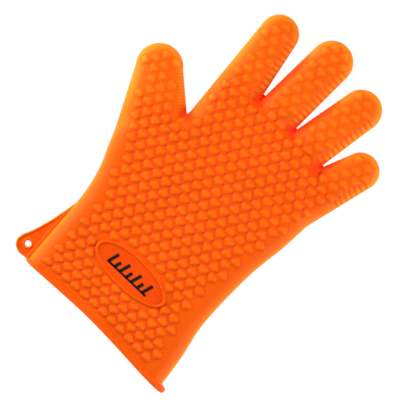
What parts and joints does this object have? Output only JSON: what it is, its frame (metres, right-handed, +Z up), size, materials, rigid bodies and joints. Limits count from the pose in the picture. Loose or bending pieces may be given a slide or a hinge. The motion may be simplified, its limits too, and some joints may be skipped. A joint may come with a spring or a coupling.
{
  "type": "heat resistant glove",
  "caption": "Moulded silicone oven and barbecue glove with separate fingers, a heart-nubbed grip surface, a flared cuff with a badge, and a corner tab to hang it by.",
  "frame": {"origin": "under the middle of the glove's outline, on the surface it lies on", "axes": "+Y from the cuff to the fingertips, +Z up out of the badge side, +X from the thumb to the little finger"},
  "size_m": [0.1844, 0.2675, 0.0292],
  "materials": {
    "silicone": "satin moulded silicone rubber, orange",
    "printed_mark": "satin black print"
  },
  "bodies": {
    "hand": {"palm_shell": "silicone"},
    "cuff": {"cuff_shell": "silicone", "cuff_bead": "silicone", "badge_panel": "silicone", "badge_print": "printed_mark"},
    "hang_tab": {"hang_tab": "silicone"},
    "thumb_base": {"thumb_base": "silicone"},
    "thumb_tip": {"thumb_tip": "silicone"},
    "index_base": {"index_base": "silicone"},
    "index_tip": {"index_tip": "silicone"},
    "middle_base": {"middle_base": "silicone"},
    "middle_tip": {"middle_tip": "silicone"},
    "ring_base": {"ring_base": "silicone"},
    "ring_tip": {"ring_tip": "silicone"},
    "little_base": {"little_base": "silicone"},
    "little_tip": {"little_tip": "silicone"}
  },
  "joints": [
    {"name": "wrist_flex", "type": "hinge", "parent": "hand", "child": "cuff", "pos_m": [0.01, -0.057, 0.014], "axis": [-1, 0, 0], "range_deg": [0, 50], "stiffness_Nm_per_rad": 0.4},
    {"name": "hang_tab_flex", "type": "hinge", "parent": "cuff", "child": "hang_tab", "pos_m": [-0.0506, -0.11, 0.014], "axis": [-0.0396, 0.9992, 0], "range_deg": [-45, 60], "stiffness_Nm_per_rad": 0.02},
    {"name": "thumb_base_flex", "type": "hinge", "parent": "hand", "child": "thumb_base", "pos_m": [-0.06172, 0.01514, 0.01219], "axis": [0.7965, 0.6046, 0], "range_deg": [0, 50], "stiffness_Nm_per_rad": 0.06},
    {"name": "thumb_tip_flex", "type": "hinge", "parent": "thumb_base", "child": "thumb_tip", "pos_m": [-0.07441, 0.03187, 0.01128], "axis": [0.7965, 0.6046, 0], "range_deg": [0, 55], "stiffness_Nm_per_rad": 0.05},
    {"name": "index_base_flex", "type": "hinge", "parent": "hand", "child": "index_base", "pos_m": [-0.02501, 0.07141, 0.01101], "axis": [0.9917, 0.1288, 0], "range_deg": [0, 60], "stiffness_Nm_per_rad": 0.06},
    {"name": "index_tip_flex", "type": "hinge", "parent": "index_base", "child": "index_tip", "pos_m": [-0.02802, 0.09461, 0.01044], "axis": [0.9917, 0.1288, 0], "range_deg": [0, 70], "stiffness_Nm_per_rad": 0.05},
    {"name": "middle_base_flex", "type": "hinge", "parent": "hand", "child": "middle_base", "pos_m": [0.00903, 0.07203, 0.01136], "axis": [0.9994, -0.0349, 0], "range_deg": [0, 60], "stiffness_Nm_per_rad": 0.06},
    {"name": "middle_tip_flex", "type": "hinge", "parent": "middle_base", "child": "middle_tip", "pos_m": [0.01, 0.09981, 0.0108], "axis": [0.9994, -0.0349, 0], "range_deg": [0, 70], "stiffness_Nm_per_rad": 0.05},
    {"name": "ring_base_flex", "type": "hinge", "parent": "hand", "child": "ring_base", "pos_m": [0.04198, 0.0699, 0.01121], "axis": [0.9826, -0.1857, 0], "range_deg": [0, 60], "stiffness_Nm_per_rad": 0.06},
    {"name": "ring_tip_flex", "type": "hinge", "parent": "ring_base", "child": "ring_tip", "pos_m": [0.04662, 0.09447, 0.01059], "axis": [0.9826, -0.1857, 0], "range_deg": [0, 70], "stiffness_Nm_per_rad": 0.05},
    {"name": "little_base_flex", "type": "hinge", "parent": "hand", "child": "little_base", "pos_m": [0.07209, 0.05812, 0.01049], "axis": [0.9455, -0.3256, 0], "range_deg": [0, 55], "stiffness_Nm_per_rad": 0.06},
    {"name": "little_tip_flex", "type": "hinge", "parent": "little_base", "child": "little_tip", "pos_m": [0.07763, 0.0742, 0.00992], "axis": [0.9455, -0.3256, 0], "range_deg": [0, 60], "stiffness_Nm_per_rad": 0.05}
  ]
}
